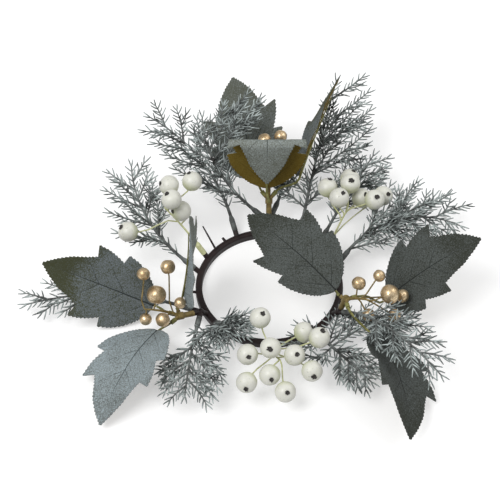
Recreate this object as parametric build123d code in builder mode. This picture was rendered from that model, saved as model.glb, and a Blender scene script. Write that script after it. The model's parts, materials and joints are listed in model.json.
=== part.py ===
from build123d import *
from math import asin, atan2, cos, degrees, pi, radians, sin, tan
import os

# A candle ring: sprigs, leaves and berry sprays pushed onto the pegs of a moulded hoop.
# Millimetres, +Z up, origin at the middle of the hoop's flat foot. Azimuth 90 is the back of the ring.

os.makedirs("parts", exist_ok=True)

# the hoop and its pegs
candle_bore = 100.0
hoop_width = 5.0
hoop_height = 6.0
hoop_round = 1.8
foot_round = 0.6
peg_radius = 1.2
peg_length = 6.5
collar_radius = 2.0
collar_reach = 6.5
post_radius = 2.2
post_length = 9.0
knot_radius = 2.8
stub_radius = 1.3
stub_length = 6.0
twig_radius = 0.9
twig_length = 22.0

# sleeves that slide onto the pegs
sleeve_wall = 0.8
sleeve_clearance = 0.15
sleeve_length = 9.0
sleeve_nose = 3.0

# fir sprigs
sprig_length = 120.0
sprig_stem_radius = 1.3
sprig_tip_radius = 0.45
branch_length = 44.0
branch_radius = 0.8
branch_tip_radius = 0.35
needle_length = 7.0
needle_radius = 0.5
needle_taper = 1.2

# leaves
blade_length = 88.0
blade_thickness = 0.6
tooth_pitch = 9.0
tooth_depth = 1.1
midrib_radius = 0.9
midrib_tip_radius = 0.45
glue_gap = 0.15
rib_lead = 2.5
stud_radius = 0.9
stud_length = 3.2
stud_reach = 4.8
stud_shoulder_radius = 1.5
foot_radius = 1.7
foot_length = 4.0
ball_radius = 1.3
bend_gap = 0.3
fold_radius = 4.0

# picks and sprays
knuckle_radius = 2.8
knuckle_length = 5.0
spray_reach = 60.0
gold_stem_radius = 1.3
gold_stalk_radius = 0.6
white_stem_radius = 1.0
white_stalk_radius = 0.55
stalk_depth = 1.5
stalk_lead = 0.8
hole_clearance = 0.15
white_berry_radius = 7.5
pip_radius = 1.5
pip_height = 0.9
pip_sink = 0.4
gold_berry_radius = 5.0

bore_radius = candle_bore / 2
hoop_middle = bore_radius + hoop_width / 2
sleeve_bore = peg_radius + sleeve_clearance
sleeve_radius = sleeve_bore + sleeve_wall
path_steps = 6

# junctions: azimuth and rise of the middle arm
post_rise = 50
junctions = [(90, 65), (210, 20), (330, 75)]

# bare stubs and twigs of the hoop: azimuth, heading, rise
stubs = [(75, 75, 20), (127, 135, 25), (186, 200, 30), (345, 330, 25)]
twigs = [(139, 128, 38)]

# sprigs: name, azimuth, side arm of the junction there (0 for a peg on the hoop), heading, rise, turn, droop,
# share of sprig_length, and the shares of branch_length for its left and right branches
sprig_shares = [
    ("fir_sprig_01", 117, 0, 110, 32, 48, 12, 0.85, 0.8, 0.9),
    ("fir_sprig_02", 90, 1, 172, 46, -80, 12, 0.70, 0.5, 0.4),
    ("fir_sprig_03", 90, -1, 66, 18, 32, -50, 0.34, 0.4, 0.2),
    ("fir_sprig_04", 64, 0, 77, 25, -4, 0, 0.95, 0.2, 1.3),
    ("fir_sprig_05", 46, 0, 60, 18, -4, 5, 0.60, 0.4, 0.7),
    ("fir_sprig_06", 20, 0, 48, 22, -80, 24, 0.78, 1.0, 0.7),
    ("fir_sprig_07", 330, 1, 332, 3, 8, 4, 0.26, 0.4, 0.5),
    ("fir_sprig_08", 308, 0, 304, 14, 4, 10, 0.42, 0.5, 0.5),
    ("fir_sprig_09", 330, -1, 308, 43, 2, 58, 0.82, 0.7, 0.64),
    ("fir_sprig_10", 210, 1, 262, 12, 4, 12, 0.55, 0.9, 0.7),
    ("fir_sprig_11", 220, 0, 290, 50, 8, 46, 0.24, 0.5, 0.5),
    ("fir_sprig_12", 210, -1, 160, 1, 40, 1, 0.95, 0.66, 0.74),
    ("fir_sprig_13", 166, 0, 156, 33, -62, 8, 0.70, 0.8, 0.7),
]

# a sprig's side branches, from its foot: where they leave the stem, how long they are, and its paired needles
branch_foot_shares = [0.24, 0.33, 0.42, 0.51, 0.60, 0.69, 0.78, 0.87]
branch_reach_shares = [1.00, 0.96, 0.91, 0.86, 0.80, 0.72, 0.63, 0.52]
branch_lean = 46
branch_turn = 16
branch_droop = 4
stem_needle_shares = [0.58, 0.80, 0.96]
branch_needle_shares = [0.55, 0.92]
needle_lean = 48
needle_lift = 8

# leaves: name, azimuth of the set, the blade's foot in shares of blade_length (outward, around, up), the
# blade's heading, rise, roll and bend, the heading and rise of its stud, and whether its stalk bends
leaf_shares = [
    ("leaf_back_left", 90, (0.25, 0.10, 0.42), 106, 26, -22, 14, 140, 35, False),
    ("leaf_back_inner", 90, (0.15, 0.02, 0.42), 270, 98, 0, 0, 270, 40, True),
    ("leaf_back_right", 90, (0.28, -0.26, 0.44), 70, 20, -70, 6, 40, 35, False),
    ("leaf_left_outer", 210, (0.38, -0.24, 0.10), 170, 24, -56, -8, 160, 0, False),
    ("leaf_left_front", 210, (0.48, 0.02, 0.12), 237, 14, 22, 40, 225, 0, False),
    ("leaf_left_inner", 210, (0.15, -0.13, 0.20), 180, 99, 0, 10, 110, 10, True),
    ("leaf_right_inner", 330, (0.01, 0.03, 0.30), 141, 29, -8, 34, 150, 20, True),
    ("leaf_right_outer", 330, (0.34, 0.37, 0.03), 2, 56, 14, 26, 20, 0, False),
    ("leaf_right_front", 330, (0.48, -0.16, 0.20), 298, 12, -42, 44, 280, 10, False),
]

# half of a blade's outline, in shares of its length: along the midrib, away from it
blade_half_shares = [
    (0.00, 0.03),
    (0.05, 0.12),
    (0.10, 0.19),
    (0.18, 0.26),
    (0.27, 0.31),
    (0.37, 0.335),
    (0.385, 0.255),
    (0.45, 0.285),
    (0.54, 0.315),
    (0.64, 0.33),
    (0.60, 0.215),
    (0.68, 0.19),
    (0.80, 0.145),
    (0.91, 0.075),
    (1.00, 0.00),
]
toothed_edges = [1, 2, 3, 4, 6, 7, 8, 10, 11, 12, 13]
cup_angle = 9
fold_start_share = 0.50
fold_bend = 176
fold_width_share = 0.20
rib_end_share = 0.80
folded_rib_end_share = 0.46

# how far a stalk leaves along its berry's direction, and a white berry's stalk enters along its pip's
gold_leaving_share = 0.50
white_leaving_share = 0.40
pip_pull_share = 0.35

# gold sprays: name, azimuth, heading, rise, turn, droop and length share of the main stem, and its berries:
# outward, around and up in shares of spray_reach, radius share of gold_berry_radius, fork share
gold_spray_shares = [
    ("back", 90, 88, 72, 0, 20, 0.72, [
        (0.52, 0.06, 1.18, 0.96, 1.00),
        (0.54, -0.14, 1.22, 0.96, 0.90),
        (0.56, 0.34, 1.02, 0.70, 0.60),
        (0.44, -0.26, 1.10, 0.70, 0.70),
    ]),
    ("left", 210, 185, 38, 0, 30, 0.46, [
        (0.30, -0.42, 0.66, 1.08, 0.20),
        (0.62, -0.44, 0.70, 0.96, 1.00),
        (0.56, -0.24, 0.48, 1.42, 0.75),
        (0.34, -0.06, 0.38, 0.86, 0.10),
        (0.78, -0.12, 0.28, 0.90, 0.95),
        (0.62, 0.02, 0.32, 1.04, 0.30),
    ]),
    ("right", 330, 338, 42, 0, 40, 0.36, [
        (0.26, 0.16, 0.60, 1.02, 0.40),
        (0.44, 0.34, 0.66, 0.90, 0.60),
        (0.64, 0.24, 0.54, 1.42, 1.00),
        (0.74, 0.40, 0.40, 0.96, 0.15),
        (0.78, 0.10, 0.38, 0.96, 0.80),
        (0.50, -0.02, 0.34, 0.94, 0.50),
    ]),
]

# white sprays: name, azimuth, heading, rise, turn, droop and length share of the main stem, and its berries:
# outward, around and up in shares of spray_reach, heading and rise of the pip, fork share
white_spray_shares = [
    ("left", 150, 152, 52, 0, 14, 0.62, [
        (0.63, -0.13, 0.92, 188, 25, 1.00),
        (0.42, -0.33, 0.92, 130, 60, 1.00),
        (0.47, 0.07, 0.94, 176, 60, 0.90),
        (0.40, -0.03, 0.67, 200, 20, 0.50),
        (0.80, 0.57, 0.65, 183, 47, 0.60),
    ]),
    ("right", 36, 42, 62, 0, 10, 0.40, [
        (0.32, 0.40, 0.70, 60, 60, 0.60),
        (0.28, 0.12, 0.79, 336, 67, 0.80),
        (0.55, 0.24, 0.77, 277, 65, 1.00),
        (0.72, 0.45, 0.57, 40, 60, 0.90),
        (0.65, 0.12, 0.54, 326, 59, 0.85),
        (0.67, -0.10, 0.70, 292, 60, 0.95),
        (0.90, 0.00, 0.53, 320, 47, 0.05),
    ]),
    ("front", 270, 272, 40, 30, 14, 0.42, [
        (0.12, -0.12, 0.66, 318, 71, 0.10),
        (0.52, -0.27, 0.48, 280, 39, 0.60),
        (0.47, 0.00, 0.54, 260, 45, 0.60),
        (0.53, 0.28, 0.48, 293, 55, 0.80),
        (0.70, 0.48, 0.40, 280, 20, 0.20),
        (0.35, 0.57, 0.58, 20, 70, 0.10),
        (0.74, -0.01, 0.38, 280, 25, 0.95),
        (0.82, -0.28, 0.34, 265, 15, 0.50),
        (0.94, 0.17, 0.32, 285, 48, 1.00),
        (0.15, 0.40, 0.42, 20, 30, 0.05),
    ]),
]


def toward(heading, rise):
    """The direction that points along a heading and rises from the level."""
    flat = cos(radians(rise))
    return Vector(flat * cos(radians(heading)), flat * sin(radians(heading)), sin(radians(rise)))


def heading_of(way):
    return degrees(atan2(way.Y, way.X))


def rise_of(way):
    return degrees(asin(max(-1, min(1, way.Z))))


def level_across(heading):
    """The level direction to the left of a heading."""
    return Vector(-sin(radians(heading)), cos(radians(heading)), 0)


def place(azimuth, outward, around, up):
    """A point from the hoop's middle line at an azimuth, in outward, around and up distances."""
    level = toward(azimuth, 0) * (hoop_middle + outward) + level_across(azimuth) * around
    return level + Vector(0, 0, hoop_height / 2 + up)


def across(point, heading, rise):
    """A plane square to a direction, its x level and to the left."""
    return Plane(origin=point, x_dir=level_across(heading), z_dir=toward(heading, rise))


def bending_path(start, heading, rise, turn, droop, length):
    """A stem's line: its heading turns and its rise falls off evenly along it."""
    points = [start]
    for step in range(path_steps):
        share = (step + 0.5) / path_steps
        way = toward(heading + turn * share, rise - droop * share)
        points.append(points[-1] + way * (length / path_steps))
    ends = [toward(heading, rise), toward(heading + turn, rise - droop)]
    with BuildLine() as line:
        Spline(*points, tangents=ends)
    return line.edges()[0]


def reaching_path(start, start_way, end, end_way):
    """A stem's line from one point and direction to another."""
    grip = (end - start).length / 3
    with BuildLine() as line:
        Bezier(start, start + start_way * grip, end - end_way * grip, end)
    return line.edges()[0]


def straight_path(start, end):
    with BuildLine() as line:
        Line(start, end)
    return line.edges()[0]


def tapered_spans(path, start_radius, end_radius, spans, sides, level=None):
    """The straight spans of a stem along a path, thinning evenly towards its end."""
    level = level or level_across(heading_of(path % 0))
    pieces = []
    with BuildPart():
        for span in range(spans):
            start = path @ (span / spans)
            end = path @ ((span + 1) / spans)
            way = (end - start).normalized()
            level = (level - way * level.dot(way)).normalized()
            radius = start_radius + (end_radius - start_radius) * span / spans
            thinning = (start_radius - end_radius) / spans * cos(pi / sides)
            slope = degrees(atan2(thinning, (end - start).length))
            with BuildSketch(Plane(origin=start, x_dir=level, z_dir=way)):
                RegularPolygon(radius, sides)
            pieces.append(extrude(amount=(end - start).length, taper=slope, mode=Mode.PRIVATE))
    return pieces


def junction_knot(azimuth):
    """The middle of a junction, where its three arms meet."""
    return place(azimuth, 0, 0, 0) + toward(azimuth, post_rise) * post_length


def peg_root(azimuth, on_junction):
    """Where a peg grows from: the hoop's middle line, or the middle of a junction."""
    return junction_knot(azimuth) if on_junction else place(azimuth, 0, 0, 0)


def sleeve(root, heading, rise, nose):
    """A hollow sleeve over a peg, closed at its far end and drawn in there if it has a nose."""
    way = toward(heading, rise)
    seat = root + way * collar_reach
    hollow = peg_length + sleeve_clearance
    with BuildPart() as body:
        with BuildSketch(across(seat, heading, rise)):
            Circle(sleeve_radius)
        extrude(amount=sleeve_length)
        with BuildSketch(across(seat, heading, rise)):
            Circle(sleeve_bore)
        extrude(amount=hollow, mode=Mode.SUBTRACT)
        if nose:
            with BuildSketch(across(seat + way * sleeve_length, heading, rise)):
                Circle(sleeve_radius)
            with BuildSketch(across(seat + way * (sleeve_length + sleeve_nose), heading, rise)):
                Circle(sprig_stem_radius)
            loft()
    return body.part


def peg_list():
    """Every peg: the point it grows from, its heading and its rise."""
    found = []
    for name, azimuth, arm, heading, rise, *rest in sprig_shares:
        found.append((peg_root(azimuth, arm), heading, rise))
    for azimuth, rise in junctions:
        found.append((junction_knot(azimuth), azimuth, rise))
    for name, azimuth, heading, rise, *rest in white_spray_shares:
        found.append((peg_root(azimuth, 0), heading, rise))
    return found


def save(piece, name):
    piece.label = name
    export_step(piece, f"parts/{name}.step")


def make_hoop():
    with BuildPart() as base_ring:
        with BuildSketch(Plane.XZ):
            with Locations((hoop_middle, hoop_height / 2)):
                Rectangle(hoop_width, hoop_height)
        revolve(axis=Axis.Z)
        rims = base_ring.edges().filter_by(GeomType.CIRCLE).group_by(Axis.Z)
        fillet(rims[-1], hoop_round)
        foot_edges = base_ring.edges().filter_by(GeomType.CIRCLE).group_by(Axis.Z)[0]
        fillet(foot_edges.sort_by(SortBy.RADIUS)[-1], foot_round)
        for azimuth, middle_rise in junctions:
            with BuildSketch(across(place(azimuth, 0, 0, 0), azimuth, post_rise)):
                Circle(post_radius)
            extrude(amount=post_length)
            with Locations(junction_knot(azimuth)):
                Sphere(knot_radius)
        collars = []
        pins = []
        for root, heading, rise in peg_list():
            collars.append(across(root, heading, rise))
            pins.append(across(root + toward(heading, rise) * collar_reach, heading, rise))
        with BuildSketch(*collars):
            Circle(collar_radius)
        extrude(amount=collar_reach)
        with BuildSketch(*pins):
            Circle(peg_radius)
        extrude(amount=peg_length)
        for azimuth, heading, rise in stubs:
            with BuildSketch(across(place(azimuth, 0, 0, 0), heading, rise)):
                Circle(stub_radius)
            extrude(amount=stub_length, taper=3)
        for azimuth, heading, rise in twigs:
            with BuildSketch(across(place(azimuth, 0, 0, 0), heading, rise)):
                Circle(twig_radius)
            extrude(amount=twig_length, taper=1)
    save(base_ring.part, "base_ring")


def side_branches(path, left_share, right_share):
    """The lines of a sprig's side branches, left and right in turn, shorter towards its tip."""
    lines = []
    for number, share in enumerate(branch_foot_shares):
        side = 1 if number % 2 == 0 else -1
        side_share = left_share if side > 0 else right_share
        reach = branch_length * side_share * branch_reach_shares[number]
        way = path % share
        left = level_across(heading_of(way))
        out = way * cos(radians(branch_lean)) + left * (side * sin(radians(branch_lean)))
        turn = -branch_turn * side
        lines.append(bending_path(path @ share, heading_of(out), rise_of(out), turn, branch_droop, reach))
    return lines


def needle_planes(path, shares):
    """Planes at the feet of paired needles, which lean forward on both sides of a line."""
    planes = []
    for share in shares:
        way = path % share
        level = level_across(heading_of(way))
        for side in (1, -1):
            flat = way * cos(radians(needle_lean)) + level * (side * sin(radians(needle_lean)))
            out = toward(heading_of(flat), rise_of(flat) + needle_lift)
            planes.append(Plane(origin=path @ share, x_dir=level, z_dir=out))
    return planes


with BuildPart() as needle:
    with BuildSketch():
        RegularPolygon(needle_radius, 3)
    extrude(amount=needle_length, taper=needle_taper)


def make_sprig(row):
    name, azimuth, arm, heading, rise, turn, droop, length_share, left_share, right_share = row
    root = peg_root(azimuth, arm)
    start = root + toward(heading, rise) * (collar_reach + sleeve_length + sleeve_nose / 2)
    main = bending_path(start, heading, rise, turn, droop, sprig_length * length_share)
    wood = tapered_spans(main, sprig_stem_radius, sprig_tip_radius, 6, 5)
    wood.append(sleeve(root, heading, rise, True))
    feet = needle_planes(main, stem_needle_shares)
    for line in side_branches(main, left_share, right_share):
        wood += tapered_spans(line, branch_radius, branch_tip_radius, 2, 3)
        feet += needle_planes(line, branch_needle_shares)
    with BuildPart() as sprig:
        add(wood)
        with Locations(*feet):
            add(needle.part)
    save(sprig.part, name)


def toothed_half():
    """The points along one side of a flat blade, from its foot to its tip."""
    half = [(along * blade_length, away * blade_length) for along, away in blade_half_shares]
    edge = [half[0]]
    for number in range(len(half) - 1):
        start, end = half[number], half[number + 1]
        gap = (end[0] - start[0], end[1] - start[1])
        run = (gap[0] ** 2 + gap[1] ** 2) ** 0.5
        teeth = round(run / tooth_pitch) if number in toothed_edges else 0
        for tooth in range(1, teeth + 1):
            share = tooth / (teeth + 1)
            notch = (start[0] + gap[0] * share, start[1] + gap[1] * share)
            edge.append((notch[0] - gap[1] / run * tooth_depth, notch[1] + gap[0] / run * tooth_depth))
            edge.append(notch)
        edge.append(end)
    return edge


def both_sides(edge):
    return edge + [(along, -away) for along, away in reversed(edge) if away > 0]


def blade_plane(azimuth, shares, heading, rise, roll):
    """A blade's plane: x runs along its midrib, z out of its upper face."""
    outward, around, up = [share * blade_length for share in shares]
    along = toward(heading, rise)
    left = level_across(heading)
    side = left * cos(radians(roll)) + along.cross(left) * sin(radians(roll))
    return Plane(origin=place(azimuth, outward, around, up), x_dir=along, z_dir=along.cross(side))


def turned_about(centre, foot, radius, angle):
    """The point at a radius from a centre, the given angle on from the plane's z towards its x."""
    return centre + (foot.z_dir * cos(radians(angle)) + foot.x_dir * sin(radians(angle))) * radius


def make_blade(name, foot, bend):
    """A pressed blade: a cupped strip turned about its bend and cut to the outline."""
    curve = blade_length / radians(bend)
    half_width = max(away for along, away in toothed_half()) + tooth_depth
    cup_height = half_width * tan(radians(cup_angle))
    seen = [(curve * sin(along / curve), away) for along, away in toothed_half()]
    with BuildPart() as blade:
        with BuildSketch(Plane(origin=foot.origin, x_dir=foot.y_dir, z_dir=foot.x_dir)):
            with BuildLine():
                Polyline(
                    (0, 0),
                    (half_width, cup_height),
                    (half_width, cup_height + blade_thickness),
                    (0, blade_thickness),
                    (-half_width, cup_height + blade_thickness),
                    (-half_width, cup_height),
                    close=True,
                )
            make_face()
        turn_axis = Axis(foot.origin - foot.z_dir * curve, foot.y_dir * (1 if bend > 0 else -1))
        revolve(axis=turn_axis, revolution_arc=abs(bend))
        with BuildSketch(foot):
            with BuildLine():
                Polyline(*both_sides(seen), close=True)
            make_face()
        extrude(amount=blade_length, both=True, mode=Mode.INTERSECT)
    save(blade.part, f"{name}_blade")


def make_folded_blade(name, foot):
    """A blade folded over across its middle, so that its tip hangs down in front of its foot."""
    fold_start = fold_start_share * blade_length
    fold_end = fold_start + fold_radius * radians(fold_bend)
    centre = foot.origin + foot.x_dir * fold_start - foot.z_dir * fold_radius
    over = Plane(
        origin=turned_about(centre, foot, fold_radius, fold_bend),
        x_dir=foot.x_dir * cos(radians(fold_bend)) - foot.z_dir * sin(radians(fold_bend)),
        z_dir=foot.z_dir * cos(radians(fold_bend)) + foot.x_dir * sin(radians(fold_bend)),
    )
    lower = [point for point in toothed_half() if point[0] < fold_start]
    lower.append((fold_start, fold_width_share * blade_length))
    upper = [(0, fold_width_share * blade_length)]
    upper += [(along - fold_end, away) for along, away in toothed_half() if along > fold_end]
    with BuildPart() as blade:
        with BuildSketch(foot):
            with BuildLine():
                Polyline(*both_sides(lower), close=True)
            make_face()
        extrude(amount=blade_thickness)
        line_of_fold = foot.origin + foot.x_dir * fold_start
        with BuildSketch(Plane(origin=line_of_fold, x_dir=foot.y_dir, z_dir=foot.x_dir)):
            with Locations((0, blade_thickness / 2)):
                Rectangle(fold_width_share * blade_length * 2, blade_thickness)
        revolve(axis=Axis(centre, foot.y_dir), revolution_arc=fold_bend)
        with BuildSketch(over):
            with BuildLine():
                Polyline(*both_sides(upper), close=True)
            make_face()
        extrude(amount=blade_thickness)
    save(blade.part, f"{name}_blade")


def rib_path(foot, bend, end_share):
    """The midrib's line: under the blade's middle, nearer to it as the rib thins."""
    curve = blade_length / radians(bend) if bend else 0
    centre = foot.origin - foot.z_dir * curve
    points = []
    for share in (0, 0.5, 1):
        radius = midrib_radius + (midrib_tip_radius - midrib_radius) * share
        depth = radius * cos(pi / 6) + glue_gap
        if bend:
            points.append(turned_about(centre, foot, curve - depth, bend * end_share * share))
        else:
            points.append(foot.origin + foot.x_dir * (blade_length * end_share * share) - foot.z_dir * depth)
    with BuildLine() as line:
        if bend:
            ThreePointArc(*points)
        else:
            Line(points[0], points[-1])
    return line.edges()[0]


def knuckle_middle(azimuth):
    """The middle of the knuckle that the leaves of one set branch from."""
    rise = dict(junctions)[azimuth]
    way = toward(azimuth, rise)
    return junction_knot(azimuth) + way * (collar_reach + sleeve_length + knuckle_length / 2)


def make_leaf(row):
    name, azimuth, shares, heading, rise, roll, bend, stud_heading, stud_rise, bends = row
    foot = blade_plane(azimuth, shares, heading, rise, roll)
    if bend:
        make_blade(name, foot, bend)
    else:
        make_folded_blade(name, foot)
    way = toward(stud_heading, stud_rise)
    seat = knuckle_middle(azimuth) + way * stud_reach
    rib = rib_path(foot, bend, rib_end_share if bend else folded_rib_end_share)
    start = seat + way * (bend_gap + ball_radius if bends else foot_length)
    lead = rib @ 0 - foot.x_dir * rib_lead
    stalk = reaching_path(start, way, lead, foot.x_dir)
    wood = tapered_spans(stalk, midrib_radius, midrib_radius, 6, 6)
    wood += tapered_spans(straight_path(lead, rib @ 0.02), midrib_radius, midrib_radius, 1, 6, foot.y_dir)
    wood += tapered_spans(rib, midrib_radius, midrib_tip_radius, 5, 6, foot.y_dir)
    with BuildPart() as stem:
        add(wood)
        with Locations(lead):
            Sphere(midrib_radius * cos(pi / 12))
        if bends:
            with Locations(start):
                Sphere(ball_radius)
        else:
            with BuildSketch(across(seat, stud_heading, stud_rise)):
                Circle(foot_radius)
            extrude(amount=foot_length)
            with BuildSketch(across(seat, stud_heading, stud_rise)):
                Circle(stud_radius + sleeve_clearance)
            extrude(amount=stud_length + sleeve_clearance, mode=Mode.SUBTRACT)
    save(stem.part, f"{name}_stem")


def blended(first, second, share):
    return (first * (1 - share) + second * share).normalized()


def stalk_line(main, fork, centre, radius, way, leaving_share):
    """A stalk's line from its fork on a main stem to the skin of a berry that it meets along a direction."""
    skin = centre - way * (radius + stalk_lead)
    return reaching_path(main @ fork, blended(main % fork, way, leaving_share), skin, way)


def stalk_spans(stalk, way, radius, spans):
    """The wood of a stalk, with a straight end that goes on into its berry."""
    end = stalk @ 1 + way * (stalk_lead + stalk_depth)
    return tapered_spans(stalk, radius, radius, spans, 5) + tapered_spans(
        straight_path(stalk @ 0.97, end), radius, radius, 1, 5
    )


def make_berry(centre, radius, way, hole_radius, pip_way=None):
    """A round berry with the hole that its stalk is glued into, and a recess for a pip if it has one."""
    side = way.cross(pip_way or Vector(0, 0, 1)).normalized()
    hole_floor = centre - way * (radius - stalk_depth - hole_clearance)
    with BuildPart() as berry:
        with Locations(Plane(origin=centre, x_dir=way.cross(side), z_dir=side)):
            Sphere(radius)
        with BuildSketch(Plane(origin=hole_floor, z_dir=-way)):
            Circle(hole_radius)
        extrude(amount=stalk_depth * 2, mode=Mode.SUBTRACT)
        if pip_way:
            recess_floor = centre + pip_way * (radius - pip_sink - hole_clearance)
            with BuildSketch(Plane(origin=recess_floor, z_dir=pip_way)):
                Circle(pip_radius + hole_clearance)
            extrude(amount=pip_height, mode=Mode.SUBTRACT)
    return berry.part


def make_gold_spray(row):
    """A pick: its sleeve and knuckle with the leaves' studs, a branching stem, and its berries."""
    name, azimuth, heading, rise, turn, droop, length_share, places = row
    arm_rise = dict(junctions)[azimuth]
    arm_way = toward(azimuth, arm_rise)
    root = junction_knot(azimuth)
    knuckle = knuckle_middle(azimuth)
    main = bending_path(knuckle, heading, rise, turn, droop, spray_reach * length_share)
    wood = tapered_spans(main, gold_stem_radius, gold_stalk_radius, 5, 6)
    wood.append(sleeve(root, azimuth, arm_rise, False))
    fruit = []
    for outward, around, up, size, fork in places:
        centre = place(azimuth, outward * spray_reach, around * spray_reach, up * spray_reach)
        radius = size * gold_berry_radius
        way = (centre - main @ fork).normalized()
        stalk = stalk_line(main, fork, centre, radius, way, gold_leaving_share)
        wood += stalk_spans(stalk, way, gold_stalk_radius, 3)
        fruit.append(make_berry(centre, radius, way, gold_stalk_radius + hole_clearance))
    studs = [(row[7], row[8], row[9]) for row in leaf_shares if row[1] == azimuth]
    with BuildPart() as stem:
        add(wood)
        with BuildSketch(across(knuckle - arm_way * (knuckle_length / 2), azimuth, arm_rise)):
            Circle(knuckle_radius)
        extrude(amount=knuckle_length)
        for stud_heading, stud_rise, bends in studs:
            with BuildSketch(across(knuckle, stud_heading, stud_rise)):
                Circle(stud_shoulder_radius)
            extrude(amount=stud_reach)
            if not bends:
                with BuildSketch(across(knuckle, stud_heading, stud_rise)):
                    Circle(stud_radius)
                extrude(amount=stud_reach + stud_length)
    save(stem.part, f"gold_stem_{name}")
    with BuildPart() as berries:
        add(fruit)
    save(berries.part, f"gold_berries_{name}")


def make_white_spray(row):
    """A pick: its sleeve and branching stem, its berries, and a pip in each berry's far side."""
    name, azimuth, heading, rise, turn, droop, length_share, places = row
    root = peg_root(azimuth, 0)
    start = root + toward(heading, rise) * (collar_reach + sleeve_length + sleeve_nose / 2)
    main = bending_path(start, heading, rise, turn, droop, spray_reach * length_share)
    wood = tapered_spans(main, white_stem_radius, white_stalk_radius, 5, 6)
    wood.append(sleeve(root, heading, rise, True))
    fruit, faces = [], []
    for outward, around, up, pip_heading, pip_rise, fork in places:
        centre = place(azimuth, outward * spray_reach, around * spray_reach, up * spray_reach)
        pip_way = toward(pip_heading, pip_rise)
        way = blended((centre - main @ fork).normalized(), pip_way, pip_pull_share)
        stalk = stalk_line(main, fork, centre, white_berry_radius, way, white_leaving_share)
        wood += stalk_spans(stalk, way, white_stalk_radius, 4)
        hole_radius = white_stalk_radius + hole_clearance
        fruit.append(make_berry(centre, white_berry_radius, way, hole_radius, pip_way))
        faces.append(Plane(origin=centre + pip_way * (white_berry_radius - pip_sink), z_dir=pip_way))
    with BuildPart() as stem:
        add(wood)
    save(stem.part, f"white_stem_{name}")
    with BuildPart() as berries:
        add(fruit)
    save(berries.part, f"white_berries_{name}")
    with BuildPart() as pips:
        with BuildSketch(*faces):
            RegularPolygon(pip_radius, 5)
        extrude(amount=pip_height, taper=8)
    save(pips.part, f"white_pips_{name}")


make_hoop()
for row in sprig_shares:
    make_sprig(row)
for row in leaf_shares:
    make_leaf(row)
for row in gold_spray_shares:
    make_gold_spray(row)
for row in white_spray_shares:
    make_white_spray(row)
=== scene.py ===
# %% [markdown]
# # A candle ring of frosted leaves, fir sprigs and berries
# The real ring is a set of moulded plastic sprigs, pressed fabric leaves and berry picks, pushed onto the
# pegs of a plastic hoop that lies round a pillar candle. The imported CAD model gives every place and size, and
# this script dresses it: needles, veins, dimples and finishes that are too fine for the solids.

# %% The frame
import json
import math
import random

import bmesh
import bpy
from mathutils import Matrix, Vector, noise
from mathutils.bvhtree import BVHTree

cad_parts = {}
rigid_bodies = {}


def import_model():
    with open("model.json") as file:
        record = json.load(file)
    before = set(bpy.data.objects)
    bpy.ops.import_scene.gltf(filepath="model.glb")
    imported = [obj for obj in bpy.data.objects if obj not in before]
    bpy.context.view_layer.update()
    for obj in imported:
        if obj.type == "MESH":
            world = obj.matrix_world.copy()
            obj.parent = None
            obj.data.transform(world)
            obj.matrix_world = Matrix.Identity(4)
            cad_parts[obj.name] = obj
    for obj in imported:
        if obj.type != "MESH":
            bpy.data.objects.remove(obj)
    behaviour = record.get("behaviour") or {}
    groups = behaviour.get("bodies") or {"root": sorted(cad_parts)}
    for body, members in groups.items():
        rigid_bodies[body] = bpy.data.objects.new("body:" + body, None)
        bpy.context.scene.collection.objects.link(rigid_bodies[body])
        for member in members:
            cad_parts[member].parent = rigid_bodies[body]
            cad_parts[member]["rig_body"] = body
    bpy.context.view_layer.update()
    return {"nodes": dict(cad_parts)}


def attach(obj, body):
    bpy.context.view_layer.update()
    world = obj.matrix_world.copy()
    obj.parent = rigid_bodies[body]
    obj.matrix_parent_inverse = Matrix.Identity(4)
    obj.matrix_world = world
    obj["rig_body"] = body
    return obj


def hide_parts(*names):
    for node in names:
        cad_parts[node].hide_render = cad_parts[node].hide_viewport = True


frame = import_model()
nodes = frame["nodes"]
mm = 0.001

# %% [markdown]
# Every place on the ring is told as the CAD source tells it: an azimuth round the hoop, then distances
# outward, around and up from the hoop's middle line. A direction is a compass heading and a rise from the
# level. Two short helpers turn these into vectors, so that the tables below stay in words that a maker would
# use.

# %% Places and directions
hoop_middle = 52.5 * mm
hoop_half_height = 3.0 * mm


def toward(heading, rise):
    flat = math.cos(math.radians(rise))
    turned = math.radians(heading)
    return Vector((flat * math.cos(turned), flat * math.sin(turned), math.sin(math.radians(rise))))


def level_across(heading):
    return toward(heading + 90, 0)


def place(azimuth, outward, around, up):
    level = toward(azimuth, 0) * (hoop_middle + outward) + level_across(azimuth) * around
    return level + Vector((0, 0, hoop_half_height + up))


def heading_of(way):
    return math.degrees(math.atan2(way.y, way.x))


def rise_of(way):
    return math.degrees(math.asin(max(-1, min(1, way.normalized().z))))


print("a quarter round at the right:", [round(v, 4) for v in place(0, 0, 0, 0)])

# %% [markdown]
# A finished piece is a mesh whose object stays at the origin. It rides on the body of the CAD node that it
# stands for, so that a leaf still bends at its stalk, and it replaces that node. Two short helpers make a
# mesh and an object, and the third does the rest and shades the piece smooth.

# %% Finishing a piece


def mesh_from(bm, name):
    """A mesh from a bmesh, which is then freed."""
    mesh = bpy.data.meshes.new(name)
    bm.to_mesh(mesh)
    bm.free()
    return mesh


def new_object(name, data):
    made = bpy.data.objects.new(name, data)
    bpy.context.scene.collection.objects.link(made)
    return made


def finish_piece(name, bm, node, materials, smooth=True):
    mesh = mesh_from(bm, name)
    for material in materials:
        mesh.materials.append(material)
    for face in mesh.polygons:
        face.use_smooth = smooth
    piece = new_object(name, mesh)
    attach(piece, nodes[node]["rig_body"])
    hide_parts(node)
    print(name, "faces", len(mesh.polygons))


# %% [markdown]
# Materials are node trees. One small helper gives a node its inputs, either another node's output or a plain
# value, and the next adds a node with its options, so that each finish below reads as a short list. The
# others make what every finish needs: a blend of two colours, a value spread over another range, a group, a
# material and a bump.

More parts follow.
